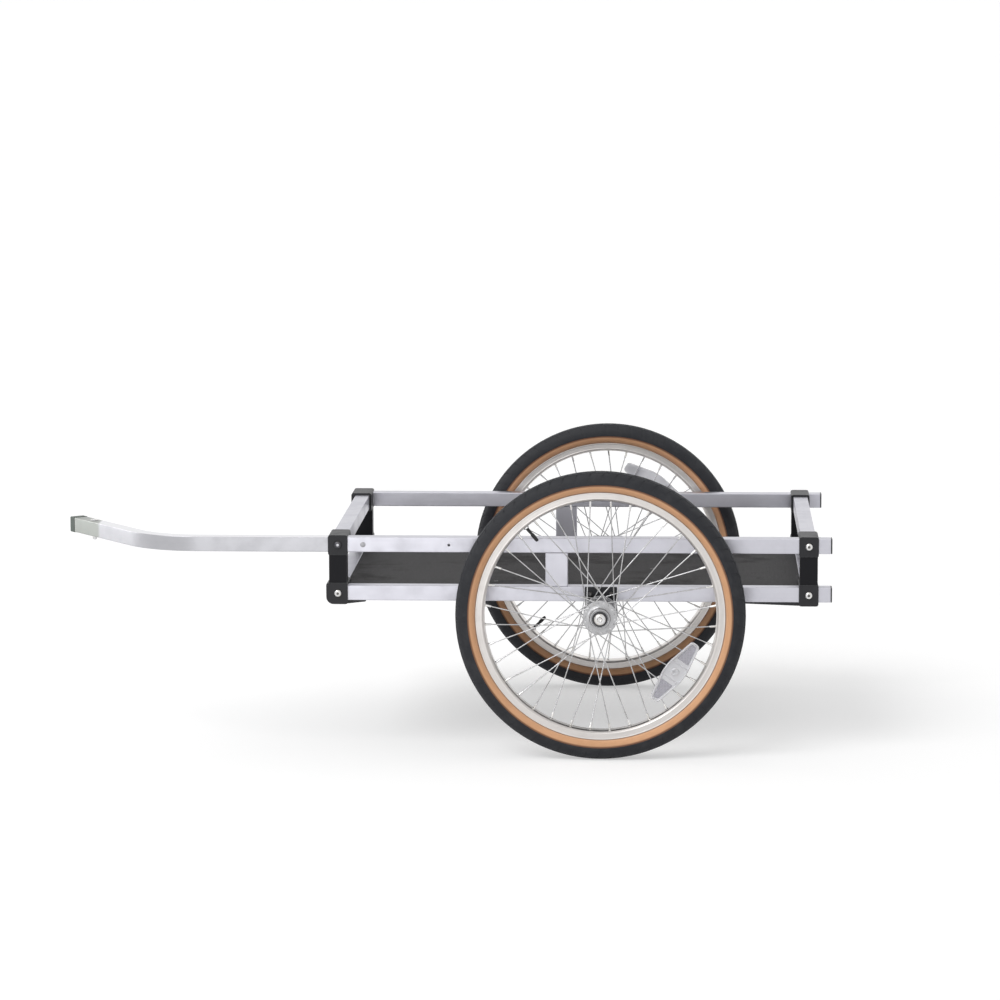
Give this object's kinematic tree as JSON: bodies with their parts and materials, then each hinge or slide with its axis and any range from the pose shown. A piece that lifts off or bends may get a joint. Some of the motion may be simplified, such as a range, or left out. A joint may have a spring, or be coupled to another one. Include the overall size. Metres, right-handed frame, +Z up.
{
  "type": "flatbed bike trailer",
  "caption": "Flatbed bike trailer of square aluminium tube with black corner connectors, a dark deck, a bent tow bar on the left and spoked wheels on push-button axles.",
  "frame": {"origin": "centre of the bounding box at ground level, with the trailer level", "axes": "+X towards the rear of the trailer, so the hitch end points to -X, +Y to the trailer's right, +Z up"},
  "size_m": [1.324, 0.804, 0.488],
  "materials": {
    "bare_aluminium": "bare extruded tube, satin",
    "black_coat": "black, semi-matte coat",
    "dark_plastic": "dark grey-green moulding",
    "bright_steel": "bright zinc or stainless",
    "deck": "plywood with a dark film face",
    "tyre": "black tread, tan side walls",
    "tube_rubber": "thin black rubber",
    "rim_aluminium": "polished aluminium",
    "hub_aluminium": "polished hub with bright spokes",
    "bearing_steel": "sealed bearing with a dark seal",
    "clear_plastic": "clear moulded reflector"
  },
  "bodies": {
    "trailer_frame": {"deck_panel": "deck", "front_bottom_cross_rail": "bare_aluminium", "front_floor_bar": "bare_aluminium", "front_top_cross_rail": "bare_aluminium", "hitch_pin": "bright_steel", "left_axle": "bright_steel", "left_axle_bracket": "black_coat", "left_bottom_front_bolt": "bright_steel", "left_bottom_rail": "bare_aluminium", "left_bottom_rear_bolt": "bright_steel", "left_bottom_rear_cap": "dark_plastic", "left_front_bracket_bolt": "black_coat", "left_front_connector": "black_coat", "left_rear_bracket_bolt": "black_coat", "left_rear_connector": "black_coat", "left_side_post": "bare_aluminium", "left_top_front_bolt": "bright_steel", "left_top_rail": "bare_aluminium", "left_top_rear_bolt": "bright_steel", "left_top_rear_cap": "dark_plastic", "rear_bottom_cross_rail": "bare_aluminium", "rear_floor_bar": "bare_aluminium", "rear_top_cross_rail": "bare_aluminium", "right_axle": "bright_steel", "right_axle_bracket": "black_coat", "right_bottom_front_bolt": "bright_steel", "right_bottom_rail": "bare_aluminium", "right_bottom_rear_bolt": "bright_steel", "right_bottom_rear_cap": "dark_plastic", "right_front_bracket_bolt": "black_coat", "right_front_connector": "black_coat", "right_rear_bracket_bolt": "black_coat", "right_rear_connector": "black_coat", "right_side_post": "bare_aluminium", "right_top_front_bolt": "bright_steel", "right_top_rail": "bare_aluminium", "right_top_rear_bolt": "bright_steel", "right_top_rear_cap": "dark_plastic", "tow_bar": "bare_aluminium", "tow_bar_end_cap": "dark_plastic", "tow_bar_lock_pin": "bright_steel", "tow_bar_spigot": "bare_aluminium"},
    "left_wheel": {"left_hub_and_spokes": "hub_aluminium", "left_inner_bearing": "bearing_steel", "left_inner_tube": "tube_rubber", "left_outer_bearing": "bearing_steel", "left_reflector": "clear_plastic", "left_rim": "rim_aluminium", "left_tyre": "tyre"},
    "right_wheel": {"right_hub_and_spokes": "hub_aluminium", "right_inner_bearing": "bearing_steel", "right_inner_tube": "tube_rubber", "right_outer_bearing": "bearing_steel", "right_reflector": "clear_plastic", "right_rim": "rim_aluminium", "right_tyre": "tyre"},
    "left_button": {"left_release_button": "bright_steel"},
    "right_button": {"right_release_button": "bright_steel"}
  },
  "joints": [
    {"name": "left_wheel_spin", "type": "hinge", "parent": "trailer_frame", "child": "left_wheel", "pos_m": [0.27287, -0.35, 0.244], "axis": [0, -1, 0], "continuous": true},
    {"name": "left_button_press", "type": "slide", "parent": "trailer_frame", "child": "left_button", "axis": [0, 1, 0], "range_m": [0, 0.003], "stiffness_N_per_m": 900, "springref_m": -0.003},
    {"name": "right_wheel_spin", "type": "hinge", "parent": "trailer_frame", "child": "right_wheel", "pos_m": [0.27287, 0.35, 0.244], "axis": [0, -1, 0], "continuous": true},
    {"name": "right_button_press", "type": "slide", "parent": "trailer_frame", "child": "right_button", "axis": [0, -1, 0], "range_m": [0, 0.003], "stiffness_N_per_m": 900, "springref_m": -0.003}
  ]
}
